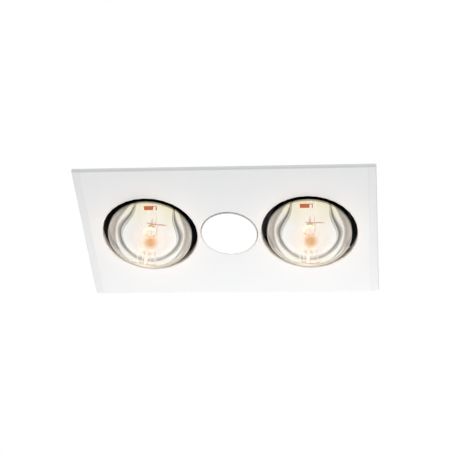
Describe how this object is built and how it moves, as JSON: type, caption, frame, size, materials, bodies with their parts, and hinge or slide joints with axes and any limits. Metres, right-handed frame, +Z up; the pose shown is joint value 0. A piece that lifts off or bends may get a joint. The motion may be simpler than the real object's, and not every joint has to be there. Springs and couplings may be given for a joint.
{
  "type": "bathroom ceiling heater",
  "caption": "Rectangular ceiling unit with large reflector heat lamps, a round centre light and an exhaust fan with a duct spigot, all in a folded steel box.",
  "frame": {"origin": "middle of the ceiling opening, at the level of the ceiling's underside", "axes": "+Z up into the ceiling, +X along the fascia's long side, +Y the way the air leaves"},
  "size_m": [0.435, 0.284, 0.219],
  "materials": {
    "white_enamel": "gloss powder coat",
    "galvanised_steel": "galvanised sheet",
    "spring_steel": "tempered strip",
    "zinc_plate": "zinc plated",
    "lamp_glass": "clear front, mirrored inside behind the shoulder",
    "mount_glass": "clear stem",
    "lamp_brass": "plain",
    "tungsten": "glowing wire",
    "ceramic": "unglazed porcelain",
    "pale_plastic": "moulded",
    "grey_plastic": "moulded",
    "dark_plastic": "moulded",
    "rubber": "soft moulded",
    "cast_aluminium": "die cast",
    "board_white": "white solder mask",
    "opal": "opal",
    "lead_brown": "heatproof sleeve",
    "lead_white": "flex sheath"
  },
  "bodies": {
    "unit": {"fascia": "white_enamel", "fascia_clip_1": "spring_steel", "fascia_clip_2": "spring_steel", "fascia_clip_3": "spring_steel", "fascia_clip_4": "spring_steel", "housing": "galvanised_steel", "cable_grommet": "rubber", "lamp_holder_left": "ceramic", "lamp_holder_right": "ceramic", "holder_sleeve_left": "lamp_brass", "holder_sleeve_right": "lamp_brass", "holder_contact_left": "lamp_brass", "holder_contact_right": "lamp_brass", "lamp_bracket_left": "galvanised_steel", "lamp_bracket_right": "galvanised_steel", "fan_scroll": "pale_plastic", "fan_inlet": "pale_plastic", "fan_motor": "galvanised_steel", "motor_ring": "rubber", "run_capacitor": "grey_plastic", "fan_bracket": "galvanised_steel", "duct_spigot": "pale_plastic", "led_bracket": "galvanised_steel", "led_heat_sink": "cast_aluminium", "led_board": "board_white", "light_bezel": "pale_plastic", "light_diffuser": "opal", "led_driver": "dark_plastic", "terminal_block": "pale_plastic", "terminal_cover": "grey_plastic", "lamp_lead_left": "lead_brown", "lamp_lead_right": "lead_brown", "motor_lead": "lead_brown", "led_supply_lead": "lead_white", "led_lead": "lead_white", "end_bracket_left": "galvanised_steel", "end_bracket_right": "galvanised_steel", "clamp_screw_1": "zinc_plate", "clamp_screw_2": "zinc_plate", "clamp_screw_3": "zinc_plate", "clamp_screw_4": "zinc_plate"},
    "fan_rotor": {"fan_wheel": "dark_plastic", "motor_shaft": "zinc_plate"},
    "flap": {"draught_flap": "grey_plastic"},
    "heat_lamp_left": {"lamp_glass_left": "lamp_glass", "lamp_cap_left": "lamp_brass", "lamp_mount_left": "mount_glass", "lamp_filament_left": "tungsten"},
    "heat_lamp_right": {"lamp_glass_right": "lamp_glass", "lamp_cap_right": "lamp_brass", "lamp_mount_right": "mount_glass", "lamp_filament_right": "tungsten"},
    "nut_1": {"clamp_nut_1": "zinc_plate"},
    "nut_2": {"clamp_nut_2": "zinc_plate"},
    "nut_3": {"clamp_nut_3": "zinc_plate"},
    "nut_4": {"clamp_nut_4": "zinc_plate"},
    "arm_1": {"clamp_arm_1": "zinc_plate"},
    "arm_2": {"clamp_arm_2": "zinc_plate"},
    "arm_3": {"clamp_arm_3": "zinc_plate"},
    "arm_4": {"clamp_arm_4": "zinc_plate"}
  },
  "joints": [
    {"name": "fan_spin", "type": "hinge", "parent": "unit", "child": "fan_rotor", "pos_m": [0, 0, 0.123], "axis": [0, 0, 1], "continuous": true},
    {"name": "flap_swing", "type": "hinge", "parent": "unit", "child": "flap", "pos_m": [0.0558, 0.13, 0.136], "axis": [1, 0, 0], "range_deg": [0, 80]},
    {"name": "lamp_out_left", "type": "slide", "parent": "unit", "child": "heat_lamp_left", "axis": [0, 0, -1], "range_m": [0, 0.022]},
    {"name": "lamp_out_right", "type": "slide", "parent": "unit", "child": "heat_lamp_right", "axis": [0, 0, -1], "range_m": [0, 0.022]},
    {"name": "nut_travel_1", "type": "slide", "parent": "unit", "child": "nut_1", "axis": [0, 0, 1], "range_m": [-0.004, 0.022]},
    {"name": "nut_travel_2", "type": "slide", "parent": "unit", "child": "nut_2", "axis": [0, 0, 1], "range_m": [-0.004, 0.022]},
    {"name": "nut_travel_3", "type": "slide", "parent": "unit", "child": "nut_3", "axis": [0, 0, 1], "range_m": [-0.004, 0.022]},
    {"name": "nut_travel_4", "type": "slide", "parent": "unit", "child": "nut_4", "axis": [0, 0, 1], "range_m": [-0.004, 0.022]},
    {"name": "arm_swing_1", "type": "hinge", "parent": "nut_1", "child": "arm_1", "pos_m": [-0.179, -0.088, 0.01], "axis": [0, 0, 1], "range_deg": [0, 90]},
    {"name": "arm_swing_2", "type": "hinge", "parent": "nut_2", "child": "arm_2", "pos_m": [0.179, -0.088, 0.01], "axis": [0, 0, -1], "range_deg": [0, 90]},
    {"name": "arm_swing_3", "type": "hinge", "parent": "nut_3", "child": "arm_3", "pos_m": [-0.179, 0.088, 0.01], "axis": [0, 0, -1], "range_deg": [0, 90]},
    {"name": "arm_swing_4", "type": "hinge", "parent": "nut_4", "child": "arm_4", "pos_m": [0.179, 0.088, 0.01], "axis": [0, 0, 1], "range_deg": [0, 90]}
  ]
}
